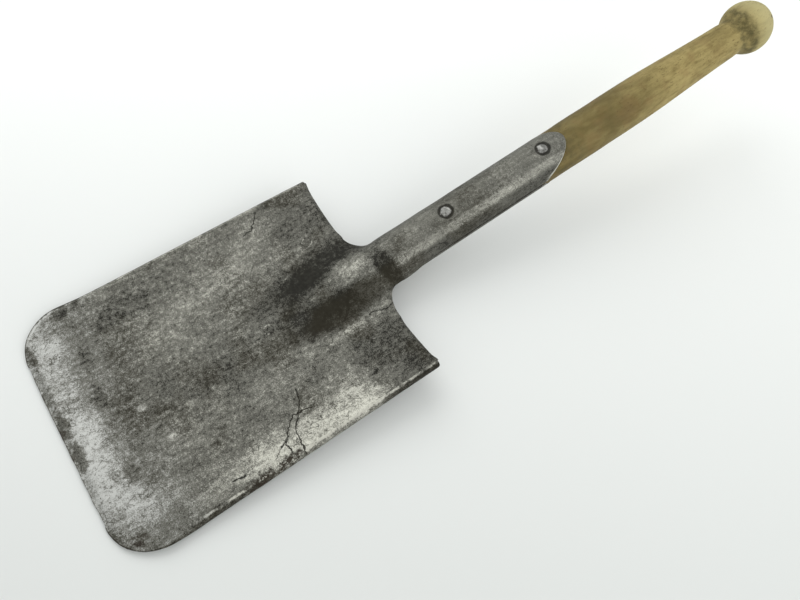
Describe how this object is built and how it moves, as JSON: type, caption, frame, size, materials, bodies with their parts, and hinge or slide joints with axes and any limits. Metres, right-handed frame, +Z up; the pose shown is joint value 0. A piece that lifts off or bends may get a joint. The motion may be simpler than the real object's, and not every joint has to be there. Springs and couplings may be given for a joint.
{
  "type": "camp shovel",
  "caption": "Small fixed-blade camp shovel: square dished steel blade with a raised frog, riveted strap socket and a turned wooden handle with a ball knob.",
  "frame": {"origin": "on the floor, under the middle of the tool's length and width", "axes": "+X from the cutting edge to the knob, +Y across the blade, +Z up; the tool is symmetric about the XZ plane; the shovel lies on its back with its digging face up, on its cutting edge and the heel of its rear strap"},
  "size_m": [0.4984, 0.1522, 0.0925],
  "materials": {
    "worn_steel": "old bare steel, worn bright along the cutting edge, brown-black patina round the frog",
    "rivet_steel": "hammered bare steel, dark in its recess",
    "bare_wood": "bare weathered hardwood, dry and matte, grimy at the waist"
  },
  "bodies": {
    "root": {"blade": "worn_steel", "rear_strap": "worn_steel", "handle": "bare_wood", "socket_rivet_lower": "rivet_steel", "socket_rivet_upper": "rivet_steel", "frog_rivet_tip": "rivet_steel", "frog_rivet_front_left": "rivet_steel", "frog_rivet_front_right": "rivet_steel", "frog_rivet_rear_left": "rivet_steel", "frog_rivet_rear_right": "rivet_steel"}
  },
  "joints": []
}
